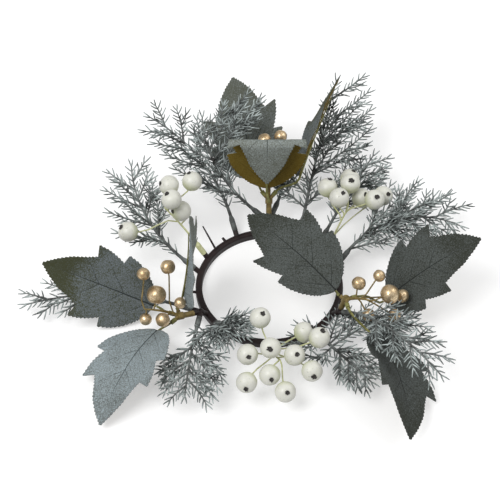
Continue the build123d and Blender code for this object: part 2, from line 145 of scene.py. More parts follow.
# %% Helpers for node trees


def join(tree, node, inputs):
    """Gives a node's sockets other nodes' outputs, or plain values."""
    for socket, source in inputs.items():
        if isinstance(source, bpy.types.NodeSocket):
            tree.links.new(source, node.inputs[socket])
        else:
            node.inputs[socket].default_value = source


def wire(tree, kind, inputs=None, **settings):
    made = tree.nodes.new(kind)
    for key, value in settings.items():
        setattr(made, key, value)
    join(tree, made, inputs or {})
    return made


def mixed(tree, factor, first, second, blend="MIX"):
    made = wire(tree, "ShaderNodeMix", {0: factor, 6: first, 7: second}, data_type="RGBA", blend_type=blend)
    return made.outputs[2]


def measured(tree, value, low, high, to_low=0.0, to_high=1.0):
    made = wire(tree, "ShaderNodeMapRange", {0: value, 1: low, 2: high, 3: to_low, 4: to_high})
    return made.outputs[0]


def sums(tree, operation, first, second, **more):
    return wire(tree, "ShaderNodeMath", {0: first, 1: second}, operation=operation, **more).outputs[0]


def noise_on(tree, scale, detail, roughness=0.5):
    """Noise on Object coordinates, so that it sticks to the piece."""
    spot = wire(tree, "ShaderNodeTexCoord").outputs["Object"]
    inputs = {"Vector": spot, "Scale": scale, "Detail": detail, "Roughness": roughness}
    return wire(tree, "ShaderNodeTexNoise", inputs).outputs[0]


def new_group(name, inputs, outputs):
    group = bpy.data.node_groups.new(name, "ShaderNodeTree")
    for title, kind, value in inputs:
        group.interface.new_socket(name=title, in_out="INPUT", socket_type=kind).default_value = value
    for title, kind in outputs:
        group.interface.new_socket(name=title, in_out="OUTPUT", socket_type=kind)
    return group, group.nodes.new("NodeGroupInput"), group.nodes.new("NodeGroupOutput")


def new_material(name):
    """A material, its node tree and its shader."""
    material = bpy.data.materials.new(name)
    material.use_nodes = True
    return material, material.node_tree, material.node_tree.nodes["Principled BSDF"]


def bumped(tree, height, strength, distance):
    bump = wire(tree, "ShaderNodeBump", {"Height": height, "Strength": strength, "Distance": distance})
    return bump.outputs["Normal"]


helpers = (join, wire, mixed, measured, sums, noise_on, new_group, new_material, bumped)
print("helpers:", [helper.__name__ for helper in helpers])

# %% [markdown]
# Frosting is a pale dust that is sprayed from above. It lies thickest on what faces up and breaks up into
# small patches, and the bare colour shows underneath. The fir sprigs and the plastic stems both have it, so
# it is one node group that puts out a colour and a mask. The upward part comes from the surface's own normal,
# the patches from noise on Object coordinates.

# %% The frosting group
frosting, given, put_out = new_group(
    "Frosting",
    [
        ("Bare", "NodeSocketColor", (0.05, 0.06, 0.05, 1)),
        ("Frost", "NodeSocketColor", (0.5, 0.55, 0.55, 1)),
        ("Amount", "NodeSocketFloat", 1.0),
        ("Scale", "NodeSocketFloat", 300.0),
        ("From above", "NodeSocketFloat", 0.6),
    ],
    [("Color", "NodeSocketColor"), ("Mask", "NodeSocketFloat")],
)
normal = wire(frosting, "ShaderNodeTexCoord").outputs["Normal"]
facing = wire(frosting, "ShaderNodeSeparateXYZ", {0: normal})
upward = measured(frosting, facing.outputs["Z"], -0.35, 0.75)
part = given.outputs["From above"]
shaded = wire(frosting, "ShaderNodeMix", {0: part, 2: 1.0, 3: upward}, data_type="FLOAT").outputs[0]
patches = measured(frosting, noise_on(frosting, given.outputs["Scale"], 4.0, 0.65), 0.34, 0.62)
both = sums(frosting, "MULTIPLY", patches, shaded)
dusted = sums(frosting, "MULTIPLY", both, given.outputs["Amount"], use_clamp=True)
coloured = mixed(frosting, dusted, given.outputs["Bare"], given.outputs["Frost"])
join(frosting, put_out, {"Mask": dusted, "Color": coloured})
print("frosting group nodes", len(frosting.nodes))

# %% [markdown]
# The fir sprigs are dark moulded plastic under a grey-green frosting. Where the frost is thin, near the stems
# and beneath the needles, the bare colour shows, and that contrast is what makes the needles read. The frost
# is rougher than the plastic, and a fine bump gives it its dusty grain.

# %% The fir material


def make_fir(name, bare, frost, amount):
    material, tree, shader = new_material(name)
    dust = wire(tree, "ShaderNodeGroup", {"Bare": bare, "Frost": frost, "Amount": amount, "Scale": 110,
                                          "From above": 0.8}, node_tree=frosting)
    join(tree, shader, {
        "Base Color": dust.outputs["Color"],
        "Roughness": measured(tree, dust.outputs["Mask"], 0, 1, 0.5, 0.85),
        "Normal": bumped(tree, noise_on(tree, 1500.0, 2.0), 0.35, 0.2 * mm),
        "Specular IOR Level": 0.3,
    })
    return material


fir_needles = make_fir("fir_needles", (0.020, 0.026, 0.023, 1), (0.45, 0.505, 0.495, 1), 1.0)
fir_wood = make_fir("fir_wood", (0.020, 0.019, 0.018, 1), (0.30, 0.33, 0.32, 1), 0.55)
print("fir materials", fir_needles.name, fir_wood.name)

# %% [markdown]
# One needle is a stout moulded spike, thickest near its middle and curved gently towards the sprig's tip. It
# starts as a five-sided cone, is cut across twice so that it can bend, and gets a short point. Thousands of
# copies are made of it, so it has only a few dozen faces.

# %% One needle
needle_length = 8.2 * mm
needle_foot, needle_end = 0.47 * mm, 0.36 * mm
needle_point = 0.5 * mm
needle_bow = 0.8 * mm
needle_swell = 0.35
cut_shares = (0.35, 0.7)
point_share = 0.3


def cut_across(bm, point, way, weld=0.0):
    """Cuts every face of a bmesh where a plane meets it."""
    geom = bm.verts[:] + bm.edges[:] + bm.faces[:]
    bmesh.ops.bisect_plane(bm, geom=geom, dist=weld, plane_co=point, plane_no=way)


def shape_needle():
    bm = bmesh.new()
    bmesh.ops.create_cone(bm, cap_ends=True, segments=5, radius1=needle_foot, radius2=needle_end,
                          depth=needle_length)
    bmesh.ops.translate(bm, verts=bm.verts, vec=(0, 0, needle_length / 2))
    for share in cut_shares:
        cut_across(bm, (0, 0, needle_length * share), (0, 0, 1))
    end = [face for face in bm.faces if face.calc_center_median().z > needle_length * 0.99]
    pulled = bmesh.ops.extrude_discrete_faces(bm, faces=end)["faces"][0]
    bmesh.ops.translate(bm, verts=pulled.verts, vec=(0, 0, needle_point))
    bmesh.ops.scale(bm, verts=pulled.verts, vec=(point_share, point_share, 1),
                    space=Matrix.Translation((0, 0, -needle_length)))
    for vert in bm.verts:
        share = vert.co.z / needle_length
        swell = 1 + needle_swell * math.sin(math.pi * min(1, share))
        vert.co.y *= swell
        vert.co.x = vert.co.x * swell + needle_bow * share * share
    return mesh_from(bm, "needle")


needle = shape_needle()
print("needle faces", len(needle.polygons))

# %% [markdown]
# A sprig is a bent stem with side branches, and needles stand on all of them in pairs that lean forward. The
# table repeats the stems of the CAD source, so that the dressed sprig grows out of the same peg and along the
# same line. Between the branches that the solids have too, a looser layer fills it out, and a few sprigs
# throw out more near their feet, as the photographed ones do. Lists of shares keep all this short.

# %% The table of sprigs
post_rise = 50
post_length = 9.0 * mm
collar_reach = 6.5 * mm
sleeve_length = 9.0 * mm
sleeve_nose = 3.0 * mm
sprig_length = 120.0 * mm
branch_length = 44.0 * mm

# name: azimuth, arm of a junction or 0 for a plain peg, heading, rise, turn, droop, share of sprig_length,
# shares of branch_length on the left and on the right
sprig_rows = {
    "fir_sprig_01": (117, 0, 110, 32, 48, 12, 0.85, 0.8, 0.9),
    "fir_sprig_02": (90, 1, 172, 46, -80, 12, 0.70, 0.5, 0.4),
    "fir_sprig_03": (90, -1, 66, 18, 32, -50, 0.34, 0.4, 0.2),
    "fir_sprig_04": (64, 0, 77, 25, -4, 0, 0.95, 0.2, 1.3),
    "fir_sprig_05": (46, 0, 60, 18, -4, 5, 0.60, 0.4, 0.7),
    "fir_sprig_06": (20, 0, 48, 22, -80, 24, 0.78, 1.0, 0.7),
    "fir_sprig_07": (330, 1, 332, 3, 8, 4, 0.26, 0.4, 0.5),
    "fir_sprig_08": (308, 0, 304, 14, 4, 10, 0.42, 0.5, 0.5),
    "fir_sprig_09": (330, -1, 308, 43, 2, 58, 0.82, 0.7, 0.64),
    "fir_sprig_10": (210, 1, 262, 12, 4, 12, 0.55, 0.9, 0.7),
    "fir_sprig_11": (220, 0, 290, 50, 8, 46, 0.24, 0.5, 0.5),
    "fir_sprig_12": (210, -1, 160, 1, 40, 1, 0.95, 0.66, 0.74),
    "fir_sprig_13": (166, 0, 156, 33, -62, 8, 0.70, 0.8, 0.7),
}
# shares of the main stem and of branch_length, for the branches of the CAD solids, then for the looser layer
branch_feet = [0.24, 0.33, 0.42, 0.51, 0.60, 0.69, 0.78, 0.87]
branch_reaches = [1.00, 0.96, 0.91, 0.86, 0.80, 0.72, 0.63, 0.52]
loose_feet = [0.20, 0.31, 0.43, 0.55, 0.67]
loose_reaches = [0.66, 0.84, 0.78, 0.72, 0.60]
loose_lifts = [20, -12, 28, -14, 20]
# extra branches of a few sprigs: share of the main stem, heading, rise, turn, share of branch_length
foot_branches = {
    "fir_sprig_02": [(0.36, 66, 46, -8, 1.2), (0.48, 50, 47, -8, 1.35), (0.60, 36, 43, 6, 1.3),
                     (0.70, 52, 38, -10, 1.15), (0.82, 34, 30, 6, 0.9)],
    "fir_sprig_04": [(0.28, 56, 32, -8, 1.15), (0.42, 66, 34, 8, 1.05), (0.50, 46, 22, 0, 1.0),
                     (0.07, 152, 30, -10, 0.75), (0.15, 140, 34, 8, 0.7), (0.10, 28, 26, 8, 0.6)],
    "fir_sprig_05": [(0.22, 74, 34, 8, 0.9), (0.38, 36, 28, -6, 0.9)],
    "fir_sprig_06": [(0.02, 352, 30, 10, 0.9), (0.08, 4, 36, 10, 1.0), (0.16, 358, 32, 12, 1.05),
                     (0.26, 10, 30, 8, 1.0), (0.36, 18, 26, -8, 0.9), (0.12, 24, 48, 6, 0.9)],
    "fir_sprig_07": [(0.10, 302, 30, 8, 0.8), (0.20, 284, 26, 6, 0.85), (0.40, 312, 30, -6, 0.8)],
    "fir_sprig_08": [(0.04, 40, 14, 10, 0.95), (0.03, 203, 26, -10, 0.8), (0.05, 158, 34, 10, 0.6),
                     (0.02, 70, 8, 6, 0.7), (0.10, 24, 20, 8, 0.9), (0.12, 236, 24, 6, 0.8)],
    "fir_sprig_11": [(0.02, 344, 30, -10, 0.8), (0.06, 232, 22, 8, 0.75), (0.04, 316, 58, 0, 0.7),
                     (0.08, 262, 38, 6, 0.8)],
}
print("sprigs", len(sprig_rows), "with extra branches", len(foot_branches))

# %% [markdown]
# Each stem's line is a chain of short runs whose heading turns and whose rise falls off evenly, so that the
# tubes and the needles follow the same points. A second helper finds the place and the direction part of the
# way along.

# %% The line of a stem


def bending_points(start, heading, rise, turn, droop, length, runs=14):
    points = [start]
    for run in range(runs):
        share = (run + 0.5) / runs
        points.append(points[-1] + toward(heading + turn * share, rise - droop * share) * (length / runs))
    return points


def along(points, share):
    """The point and the direction at a share of a line's length."""
    run = min(len(points) - 2, int(share * (len(points) - 1)))
    step = points[run + 1] - points[run]
    return points[run] + step * (share * (len(points) - 1) - run), step.normalized()


bow = bending_points(Vector(), 0, 0, 90, 0, 1.0)
print("a line of length one that turns a quarter ends at", [round(v, 2) for v in bow[-1]])

# %% [markdown]
# On the real ring the needles part round a leaf or a berry. Here each looser branch and each needle is tried
# with a ray against those solids, and left out where it would go through one. A tree of each solid's faces
# makes thousands of such rays quick.

# %% What stands in the way
leaf_walls = []
for name, node in nodes.items():
    if name.endswith("_blade") or "_berries_" in name:
        points = [vert.co for vert in node.data.vertices]
        leaf_walls.append(BVHTree.FromPolygons(points, [face.vertices for face in node.data.polygons]))


def in_the_way(start, end):
    """Whether a leaf or a berry stands between two points."""
    step = end - start
    return any(wall.ray_cast(start, step.normalized(), step.length)[0] for wall in leaf_walls)


def clear(points):
    return not any(in_the_way(start, end) for start, end in zip(points, points[1:]))


print("solids to keep clear of", len(leaf_walls))

# %% [markdown]
# A sprig's lines are its main stem, the branches to its left and right in turn, and a twig or two on the
# longer ones. A branch starts at a share of the stem and leans away from it, so that it follows when the stem
# bends.

# %% The lines of a sprig
branch_lean = math.radians(46)
branch_turn, branch_droop, foot_branch_droop = 16, 4, 8
branch_runs, twig_runs = 8, 5
twig_turn, twig_lift = 42, 6
twig_share = 0.34
left_twig_foot, right_twig_foot = 0.36, 0.5


def sprig_lines(name, row):
    azimuth, arm, heading, rise, turn, droop, share, left, right = row
    root = place(azimuth, 0, 0, 0)
    if arm:
        root += toward(azimuth, post_rise) * post_length
    way = toward(heading, rise)
    start = root + way * (collar_reach + sleeve_length + sleeve_nose / 2)
    main = bending_points(start, heading, rise, turn, droop, sprig_length * share)
    branches, twigs = [], []
    layers = [(foot, reach, 0) for foot, reach in zip(branch_feet, branch_reaches)]
    layers += list(zip(loose_feet, loose_reaches, loose_lifts))
    for number, (foot_share, reach, lift) in enumerate(layers):
        side = 1 if number % 2 == 0 else -1
        foot, ahead = along(main, foot_share)
        across = level_across(heading_of(ahead)) * side
        out = ahead * math.cos(branch_lean) + across * math.sin(branch_lean)
        reach *= branch_length * (left if side > 0 else right)
        branch = bending_points(foot, heading_of(out), rise_of(out) + lift, -branch_turn * side, branch_droop,
                                reach, branch_runs)
        if lift and not clear(branch):
            continue
        branches.append(branch)
        if reach > 0.5 * branch_length:
            twigs.append((branch, reach, side))
    for foot_share, heading, rise, turn, share in foot_branches.get(name, []):
        reach = branch_length * share
        foot = along(main, foot_share)[0]
        branch = bending_points(foot, heading, rise, turn, foot_branch_droop, reach, branch_runs)
        if clear(branch):
            branches.append(branch)
            twigs += [(branch, reach, 1), (branch, reach, -1)]
    for branch, reach, side in twigs:
        foot, ahead = along(branch, left_twig_foot if side > 0 else right_twig_foot)
        turn = twig_turn * side
        twig = bending_points(foot, heading_of(ahead) + turn, rise_of(ahead) + twig_lift, -turn / 3, 0,
                              reach * twig_share, twig_runs)
        if clear(twig):
            branches.append(twig)
    return root + way * collar_reach, way, main, branches


for name in foot_branches:
    print(name, "branches and twigs", len(sprig_lines(name, sprig_rows[name])[-1]))

# %% [markdown]
# The wood could be spun or extruded by hand, but a curve object gives a round tube along any line, with a
# radius at every point. All the stems of a sprig are splines of one curve, and its mesh is read once.

# %% The wood of a sprig


def add_tube(curve, points, radii):
    spline = curve.splines.new("POLY")
    spline.points.add(len(points) - 1)
    for spot, point, radius in zip(spline.points, points, radii):
        spot.co = (*point, 1)
        spot.radius = radius / mm


def tube_mesh(lines):
    """The mesh of round tubes, from pairs of points and radii."""
    curve = bpy.data.curves.new("stems", "CURVE")
    curve.dimensions = "3D"
    curve.bevel_depth = mm
    curve.bevel_resolution = 2
    curve.use_fill_caps = True
    for points, radii in lines:
        add_tube(curve, points, radii)
    holder = new_object("stems", curve)
    bpy.context.view_layer.update()
    mesh = bpy.data.meshes.new_from_object(holder.evaluated_get(bpy.context.evaluated_depsgraph_get()))
    bpy.data.objects.remove(holder)
    return mesh


def tapering(points, first, last):
    return [first + (last - first) * number / (len(points) - 1) for number in range(len(points))]


print("radii of a tapering stem in mm:", [round(r / mm, 2) for r in tapering(range(5), 1.3 * mm, 0.5 * mm)])

# %% [markdown]
# The needles are added to the same mesh. They stand in pairs at an even pitch: each copy is turned so that it
# points forward and out, and every second pair is rolled round the stem. A seeded chance varies its lean,
# roll and length.

# %% The needles of a sprig
needle_rolls = (-8, 34)
roll_chance = 14
needle_leans = (40, 54)
last_lean = 27
needle_sizes = (0.85, 1.1)
size_loss = 0.2
needle_clearance = 0.8 * mm


def needle_places(points, pitch, first, chance):
    """A matrix for each needle along a line, from its first share on."""
    length = (points[1] - points[0]).length * (len(points) - 1)
    stations = max(2, round(length / pitch))
    for station in range(stations + 1):
        share = first + (1 - first) * station / stations
        foot, ahead = along(points, min(share, 0.9999))
        left = level_across(heading_of(ahead))
        above = ahead.cross(left) * -1
        roll = math.radians(needle_rolls[station % 2])
        last = station == stations
        for side in (1, -1):
            lift = roll + math.radians(chance.uniform(-roll_chance, roll_chance))
            lean = math.radians(last_lean if last else chance.uniform(*needle_leans))
            out = left * (side * math.cos(lift)) + above * math.sin(lift)
            way = (ahead * math.cos(lean) + out * math.sin(lean)).normalized()
            inward = (ahead - way * ahead.dot(way)).normalized()
            turn = Matrix((inward, way.cross(inward), way)).transposed().to_4x4()
            size = chance.uniform(*needle_sizes) * (1 - size_loss * share)
            if not in_the_way(foot, foot + way * (needle_length * size + needle_clearance)):
                yield Matrix.Translation(foot) @ turn @ Matrix.Diagonal((1, 1, size, 1))


print("leans of the needles", needle_leans, "and of the last pair", last_lean)

# %% [markdown]
# A sprig starts with its sleeve, which fits over a peg. Its main stem and branches taper, and a twig starts
# thinner than a branch. The wood and the needles are one mesh with two materials, because the real sprig is
# one moulding.

# %% The sprigs
sleeve_lip = 0.4 * mm
sleeve_radii = [1.9 * mm, 2.15 * mm, 2.15 * mm, 1.35 * mm]
main_radius, main_end = 1.3 * mm, 0.5 * mm
branch_radius_to_a_point, branch_end = 0.09 * mm, 0.4 * mm
main_pitch, main_bare_share = 4.4 * mm, 0.08
branch_pitch, branch_bare_share = 4.2 * mm, 0.14


def make_sprig(name, row):
    chance = random.Random(name)
    seat, way, main, branches = sprig_lines(name, row)
    sleeve = [seat + way * reach for reach in (0, sleeve_lip, sleeve_length, sleeve_length + sleeve_nose)]
    lines = [(sleeve + main[1:], sleeve_radii + tapering(main, main_radius, main_end)[1:])]
    lines += [(line, tapering(line, len(line) * branch_radius_to_a_point, branch_end)) for line in branches]
    bm = bmesh.new()
    wood = tube_mesh(lines)
    bm.from_mesh(wood)
    bpy.data.meshes.remove(wood)
    for face in bm.faces:
        face.material_index = 1
    wooden = len(bm.faces)
    needled = [(main, main_pitch, main_bare_share)]
    needled += [(line, branch_pitch, branch_bare_share) for line in branches]
    for points, pitch, first in needled:
        for spot in needle_places(points, pitch, first, chance):
            placed = needle.copy()
            placed.transform(spot)
            bm.from_mesh(placed)
            bpy.data.meshes.remove(placed)
    print(name, "needles", (len(bm.faces) - wooden) // len(needle.polygons))
    finish_piece(name + "_needled", bm, name, [fir_needles, fir_wood])


for name, row in sprig_rows.items():
    make_sprig(name, row)

# %% [markdown]
# The leaves are pressed from stiff fabric. Each has a long tip and two pairs of short side lobes, a finely
# toothed edge, and a midrib with side veins that are pressed in. The outline is drawn once as half a leaf in
# shares of its length, with small teeth between its points, and mirrored. One flat face of that outline is
# then sliced both ways like a sheet of graph paper, which gives an even mesh whose edge keeps every tooth.

# %% A flat blade
blade_length = 88.0 * mm
half_leaf = [(0.00, 0.03), (0.02, 0.08), (0.05, 0.13), (0.10, 0.19), (0.18, 0.26), (0.27, 0.31),
             (0.37, 0.335), (0.385, 0.255), (0.45, 0.285), (0.54, 0.315), (0.64, 0.33), (0.605, 0.225),
             (0.68, 0.19), (0.80, 0.145), (0.91, 0.075), (1.00, 0.00)]
plain_runs = [0, 1, 6, 10]
tooth_pitch = 2.7 * mm
tooth_depth = 0.75 * mm
tooth_peak, tooth_foot, notch_share = 0.62, 0.86, 0.1
cell = 1.1 * mm
grid_half_width = 0.36 * blade_length
cut_weld, corner_weld = 0.02 * mm, 0.1 * mm


def toothed_edge():
    points = [Vector((x, y, 0)) * blade_length for x, y in half_leaf]
    edge = [points[0]]
    for number, (start, end) in enumerate(zip(points, points[1:])):
        step = end - start
        out = Vector((-step.y, step.x, 0)).normalized()
        teeth = 0 if number in plain_runs else max(1, round(step.length / tooth_pitch))
        for tooth in range(teeth):
            edge.append(start + step * ((tooth + tooth_peak) / teeth) + out * tooth_depth)
            edge.append(start + step * ((tooth + tooth_foot) / teeth) - out * tooth_depth * notch_share)
        edge.append(end)
    return edge


def flat_blade():
    bm = bmesh.new()
    corners = toothed_edge()
    corners += [Vector((p.x, -p.y, 0)) for p in reversed(corners) if p.y > 0]
    bm.faces.new([bm.verts.new(p) for p in reversed(corners)])
    for axis, low, high in ((0, 0, blade_length), (1, -grid_half_width, grid_half_width)):
        lines = math.floor((high - low) / cell)
        for line in range(1, lines):
            at, across = Vector(), Vector()
            at[axis] = low + (high - low) * line / lines
            across[axis] = 1
            cut_across(bm, at, across, cut_weld)
    bmesh.ops.remove_doubles(bm, verts=bm.verts, dist=corner_weld)
    bmesh.ops.recalc_face_normals(bm, faces=bm.faces)
    if sum(face.normal.z for face in bm.faces) < 0:
        bmesh.ops.reverse_faces(bm, faces=bm.faces)
    return mesh_from(bm, "flat_blade")


blade = flat_blade()
print("flat blade faces", len(blade.polygons))

# %% [markdown]
# The veins are pressed into the cloth, so the large ones move the mesh. A midrib runs along the middle, and
# side veins leave it like the rungs of a ladder, all at one slant, so a point's rung is its place along the
# leaf less its slanted distance from the midrib. The mesh is too coarse to carry thin lines of colour, so
# every point keeps its place on the flat sheet as an attribute, and the material draws the same ladder from
# that.

# %% The veins
# shares of blade_length, and the slant of a side vein
vein_slant = 1.03
first_rung = 0.05
rung_gap = 0.22
rung_reach = 0.24
vein_half_width = 0.018


def vein_at(x, y):
    """How deep in a vein a point of the flat blade is, from 0 to 1."""
    away = abs(y) / blade_length
    rung = (x / blade_length - away * vein_slant - first_rung + rung_gap / 2) % rung_gap - rung_gap / 2
    side = (1 - abs(rung) / vein_half_width) * max(0.0, 1 - away / rung_reach)
    middle = (1 - away / vein_half_width) * max(0.0, 1 - x / blade_length)
    return max(0.0, side, middle)


print("on the midrib, beside it:", round(vein_at(0.03, 0), 2), round(vein_at(0.03, 0.004), 2))

# %% [markdown]
# Nine leaves sit in three sets, and each leans and rolls its own way. The table repeats the CAD source, so
# that the dressed cloth lies where the solid blade lay and its stem still fits beneath it. Most curve along
# their length, and one at the back, with no bend in the table, is folded right over, so its far half comes
# back down over its front.

# %% The places of the leaves
# name: azimuth of the set, the foot in shares of blade_length, heading, rise, roll, bend
leaf_rows = {
    "leaf_back_left": (90, (0.25, 0.10, 0.42), 106, 26, -22, 14),
    "leaf_back_inner": (90, (0.15, 0.02, 0.42), 270, 98, 0, 0),
    "leaf_back_right": (90, (0.28, -0.26, 0.44), 70, 20, -70, 6),
    "leaf_left_outer": (210, (0.38, -0.24, 0.10), 170, 24, -56, -8),
    "leaf_left_front": (210, (0.48, 0.02, 0.12), 237, 14, 22, 40),
    "leaf_left_inner": (210, (0.15, -0.13, 0.20), 180, 99, 0, 10),
    "leaf_right_inner": (330, (0.01, 0.03, 0.30), 141, 29, -8, 34),
    "leaf_right_outer": (330, (0.34, 0.37, 0.03), 2, 56, 14, 26),
    "leaf_right_front": (330, (0.48, -0.16, 0.20), 298, 12, -42, 44),
}
fold_start = 0.50 * blade_length
fold_radius = 4.0 * mm
fold_bend = math.radians(176)


def leaf_frame(row):
    """The foot of a leaf, and its directions ahead, to the left and up."""
    azimuth, shares, heading, rise, roll, bend = row
    foot = place(azimuth, *[share * blade_length for share in shares])
    ahead = toward(heading, rise)
    left = level_across(heading)
    side = left * math.cos(math.radians(roll)) + ahead.cross(left) * math.sin(math.radians(roll))
    return foot, ahead, side, ahead.cross(side)


def bent(spot, foot, ahead, side, up, bend):
    """Where a point of the flat blade goes, from its place along, across and above the sheet."""
    across = side * spot.y
    if bend:
        curve = blade_length / math.radians(bend)
        turn = spot.x / curve
        return foot - up * curve + (up * math.cos(turn) + ahead * math.sin(turn)) * (curve + spot.z) + across
    turn = max(0.0, min(fold_bend, (spot.x - fold_start) / fold_radius))
    middle = foot + ahead * fold_start - up * fold_radius
    edge = middle + (up * math.cos(turn) + ahead * math.sin(turn)) * (fold_radius + spot.z)
    beyond = spot.x - fold_start - fold_radius * turn
    return edge + (ahead * math.cos(turn) - up * math.sin(turn)) * beyond + across


for name, row in leaf_rows.items():
    tip = bent(Vector((blade_length, 0, 0)), *leaf_frame(row), row[5])
    print(name, "tip at", [round(v, 3) for v in tip])

# %% [markdown]
# A finished leaf is the flat blade bent into place. Its halves rise from the midrib, its edge waves a little
# and its cloth is faintly crumpled. The blade gets its thickness while it is flat, so that its upper and
# lower faces can have their own materials, and then every point is carried to its place.

# %% Making a leaf
blade_thickness = 0.6 * mm
cloth_share = 0.8
cup = math.tan(math.radians(9))
wave_height, wave_pitch, wave_start, wave_shift = 0.9 * mm, 9 * mm, 0.3, 2
crumple_height, crumple_pitch = 0.25 * mm, 9 * mm
vein_depth = 0.35 * mm


def make_leaf(name, row, upper, lower):
    foot, ahead, side, up = leaf_frame(row)
    phase, bend = row[2], row[5]
    bm = bmesh.new()
    bm.from_mesh(blade)
    bmesh.ops.solidify(bm, geom=bm.faces[:], thickness=blade_thickness * cloth_share)
    bm.normal_update()
    sheet = bm.verts.layers.float_vector.new("sheet")
    middle_z = sum(vert.co.z for vert in bm.verts) / len(bm.verts)
    for face in bm.faces:
        face.material_index = 1 if face.normal.z < -0.5 else 0
    for vert in bm.verts:
        x, y, z = vert.co
        vert[sheet] = (x / blade_length, y / blade_length, 0)
        lift = (z - middle_z) + blade_thickness / 2
        if bend:
            swell = (abs(y) / blade_length / wave_start) ** 2
            lift += abs(y) * cup
            lift += wave_height * swell * math.sin(x / wave_pitch + phase + (wave_shift if y > 0 else 0))
        lift += crumple_height * noise.noise(Vector((x, y, phase)) / crumple_pitch)
        vert.co = bent(Vector((x, y, lift - vein_depth * vein_at(x, y))), foot, ahead, side, up, bend)
    finish_piece(name + "_cloth", bm, name + "_blade", [upper, lower])


print("cloth thickness in mm:", round(blade_thickness * cloth_share / mm, 2))

# %% [markdown]
# The cloth of a leaf is olive underneath and frosted above. The frost is a mottled grey-green that lies in
# the weave, so the bare colour shows through as fine specks, more of it near the tips. All lines come from
# the sheet attribute, bent a little by noise: the midrib, the ladder of side veins, a finer ladder between
# them, and a quilt of small cells. The large lines are coloured darker than the bare cloth, and the fine ones
# only thin the frost.

# %% The cloth group
cloth, given, put_out = new_group(
    "Leaf cloth",
    [
        ("Bare", "NodeSocketColor", (0.07, 0.08, 0.05, 1)),
        ("Frost", "NodeSocketColor", (0.3, 0.35, 0.35, 1)),
        ("Vein", "NodeSocketColor", (0.02, 0.025, 0.02, 1)),
        ("Cover", "NodeSocketFloat", 0.8),
        ("Tip wear", "NodeSocketFloat", 0.4),
    ],
    [("Color", "NodeSocketColor"), ("Height", "NodeSocketFloat")],
)
flat = wire(cloth, "ShaderNodeAttribute", attribute_name="sheet").outputs["Vector"]
waver_reach = 0.02
waver = wire(cloth, "ShaderNodeTexNoise", {"Vector": flat, "Scale": 9.0, "Detail": 1.0})
nudge = wire(cloth, "ShaderNodeVectorMath", {0: waver.outputs[1], 1: (waver_reach, waver_reach, 0)},
             operation="MULTIPLY")
bent_sheet = wire(cloth, "ShaderNodeVectorMath", {0: flat, 1: nudge.outputs[0]}, operation="ADD")
spots = wire(cloth, "ShaderNodeSeparateXYZ", {0: bent_sheet.outputs[0]})
place_along = sums(cloth, "SUBTRACT", spots.outputs["X"], waver_reach / 2)
sheet_x, sheet_y = wire(cloth, "ShaderNodeSeparateXYZ", {0: flat}).outputs[:2]
place_across = sums(cloth, "ABSOLUTE", sheet_y, 0.0)
slanted = sums(cloth, "SUBTRACT", place_along, sums(cloth, "MULTIPLY", place_across, vein_slant))
rung_place = sums(cloth, "SUBTRACT", slanted, first_rung)
rib_width = measured(cloth, sheet_x, 0.0, 0.8, 0.0085, 0.002)
rib = measured(cloth, sums(cloth, "DIVIDE", place_across, rib_width), 0.4, 1.1, 1.0, 0.0)
rib = sums(cloth, "MULTIPLY", rib, measured(cloth, sheet_x, 0.62, 0.86, 1.0, 0.25))
rungs = measured(cloth, sums(cloth, "PINGPONG", rung_place, rung_gap / 2), 0.0015, 0.0055, 0.85, 0.0)
rungs = sums(cloth, "MULTIPLY", rungs, measured(cloth, place_across, 0.04, 0.24, 1.0, 0.1))
rungs = sums(cloth, "MULTIPLY", rungs, measured(cloth, sheet_x, 0.6, 0.75, 1.0, 0.15))
large = sums(cloth, "MAXIMUM", rib, rungs)
fine = measured(cloth, sums(cloth, "PINGPONG", rung_place, rung_gap / 8), 0.0, 0.0035, 0.30, 0.0)
quilt = wire(cloth, "ShaderNodeTexVoronoi", {"Vector": flat, "Scale": 62.0}, feature="DISTANCE_TO_EDGE")
quilted = measured(cloth, quilt.outputs["Distance"], 0.0, 0.16, -0.42, 0.10)
specks = noise_on(cloth, 1000.0, 3.0, 0.7)
speckled = measured(cloth, specks, 0.32, 0.66, -0.55, 0.5)
cloudy = measured(cloth, noise_on(cloth, 70.0, 3.0), 0.3, 0.7, -0.15, 0.15)
reach = sums(cloth, "ADD", sheet_x, sums(cloth, "MULTIPLY", place_across, 0.5))
worn = sums(cloth, "MULTIPLY", measured(cloth, reach, 0.64, 0.84), given.outputs["Tip wear"])
cover = sums(cloth, "SUBTRACT", sums(cloth, "SUBTRACT", given.outputs["Cover"], worn), fine)
for part in (speckled, cloudy, quilted):
    cover = sums(cloth, "ADD", cover, part, use_clamp=True)
frosted = mixed(cloth, cover, given.outputs["Bare"], given.outputs["Frost"])
pressed = sums(cloth, "ADD", specks, sums(cloth, "SUBTRACT", quilted, large))
join(cloth, put_out, {"Color": mixed(cloth, large, frosted, given.outputs["Vein"]), "Height": pressed})
print("cloth group nodes", len(cloth.nodes))

# %% [markdown]
# The leaves don't all look alike: those at the left are pale, and the near-black of those at the right is
# painted shade, the shade that they lie in put into their colour. The folded one shows its olive back. Each is
# the same group with its own colours, and the veins are a darker tone of the frost. Cloth has hardly any shine.

# %% The leaves
vein_shade = (0.16, 0.17, 0.16)


def make_cloth(name, bare, frost, cover, tip_wear):
    material, tree, shader = new_material(name)
    vein = (*(colour * shade for colour, shade in zip(frost, vein_shade)), 1)
    leaf = wire(tree, "ShaderNodeGroup", {"Bare": bare, "Frost": frost, "Vein": vein, "Cover": cover,
                                          "Tip wear": tip_wear}, node_tree=cloth)
    join(tree, shader, {
        "Base Color": leaf.outputs["Color"],
        "Normal": bumped(tree, leaf.outputs["Height"], 0.5, 0.3 * mm),
        "Roughness": 0.85,
        "Specular IOR Level": 0.25,
    })
    return material


